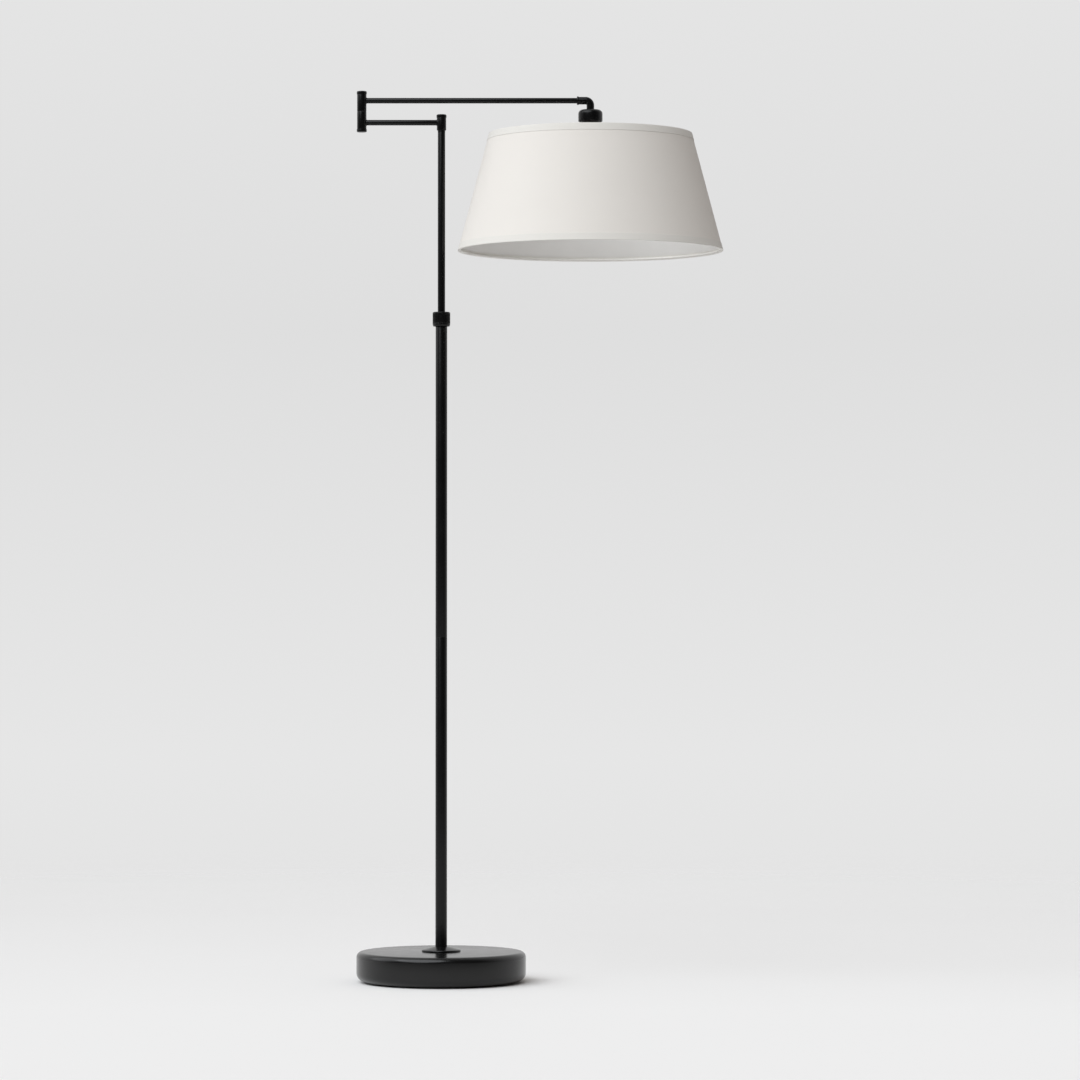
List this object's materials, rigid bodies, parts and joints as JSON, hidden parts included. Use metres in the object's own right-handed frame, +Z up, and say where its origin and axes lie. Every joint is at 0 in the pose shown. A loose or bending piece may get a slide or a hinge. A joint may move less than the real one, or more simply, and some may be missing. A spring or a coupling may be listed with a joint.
{
  "type": "swing arm floor lamp",
  "caption": "Floor lamp with a weighted round base, a telescoping pole, two swing arms on hollow pivots and a tapered fabric shade.",
  "frame": {"origin": "on the floor, at the centre of the base, on the pole's axis", "axes": "+Z up along the pole; +X from the pole towards the lamp head at rest, with both arms along X; +Y away from the front, towards the cord gland"},
  "size_m": [0.6252, 0.4532, 1.5182],
  "materials": {
    "felt": "matte",
    "zinc_plate": "satin",
    "zinc_steel": "satin",
    "cement": "matte",
    "black_enamel": "satin",
    "black_rubber": "matte",
    "brass": "satin",
    "nylon": "matte",
    "black_nylon": "matte",
    "lead_sheath": "matte",
    "phenolic": "satin",
    "bulb_aluminium": "satin",
    "bulb_glass": "satin",
    "white_wire": "satin",
    "shade_linen": "matte",
    "hem_linen": "matte"
  },
  "bodies": {
    "stand": {"felt_pad": "felt", "bottom_plate": "zinc_plate", "plate_screws": "zinc_steel", "base_weight": "cement", "base_shell": "black_enamel", "cord_gland": "black_rubber", "stem_pipe": "zinc_steel", "stem_washer": "zinc_steel", "stem_nut": "zinc_steel", "pole_flange": "black_enamel", "foot_bush": "brass", "lower_tube_bottom": "black_enamel", "tube_coupling": "brass", "lower_tube_top": "black_enamel", "lock_body": "brass", "lock_collet": "nylon"},
    "lock": {"lock_nut": "black_enamel"},
    "mast": {"mast_tube": "black_enamel", "guide_bush": "nylon", "mast_spindle": "zinc_steel", "mast_washer": "black_nylon", "mast_spring_washer": "zinc_steel", "mast_nut": "zinc_steel", "mast_lead": "lead_sheath"},
    "short_arm": {"swivel_barrel": "black_enamel", "swivel_cap": "black_enamel", "short_arm_tube": "black_enamel", "lower_knuckle": "black_enamel", "lower_knuckle_cap": "black_enamel", "elbow_spindle": "zinc_steel", "elbow_washer": "black_nylon", "elbow_spring_washer": "zinc_steel", "elbow_nut": "zinc_steel", "short_arm_lead": "lead_sheath"},
    "long_arm": {"upper_knuckle": "black_enamel", "upper_knuckle_cap": "black_enamel", "long_arm_tube": "black_enamel", "end_elbow": "black_enamel", "head_nipple": "zinc_steel", "head_nut": "zinc_steel", "head_cap": "black_enamel", "lampholder": "phenolic", "screw_shell": "brass", "centre_contact": "brass", "ring_nut": "phenolic", "bulb_base": "bulb_aluminium", "bulb_globe": "bulb_glass", "switch_bushing": "brass", "long_arm_lead": "lead_sheath", "shade_fitter": "white_wire", "shade_top_wire": "white_wire", "shade_bottom_wire": "white_wire", "shade_cone": "shade_linen", "shade_top_hem": "hem_linen", "shade_bottom_hem": "hem_linen"},
    "switch": {"switch_shaft": "brass", "switch_knob": "phenolic"}
  },
  "joints": [
    {"name": "lock_turn", "type": "hinge", "parent": "stand", "child": "lock", "pos_m": [0, 0, 1.1285], "axis": [0, 0, 1], "range_deg": [0, 120]},
    {"name": "mast_slide", "type": "slide", "parent": "stand", "child": "mast", "axis": [0, 0, 1], "range_m": [-0.3, 0]},
    {"name": "short_arm_swing", "type": "hinge", "parent": "mast", "child": "short_arm", "pos_m": [0, 0, 1.464], "axis": [0, 0, 1], "range_deg": [-170, 170]},
    {"name": "long_arm_swing", "type": "hinge", "parent": "short_arm", "child": "long_arm", "pos_m": [-0.136, 0, 1.48275], "axis": [0, 0, 1], "range_deg": [-175, 175]},
    {"name": "switch_turn", "type": "hinge", "parent": "long_arm", "child": "switch", "pos_m": [0.254, -0.0251, 1.45005], "axis": [0, -1, 0], "continuous": true}
  ]
}
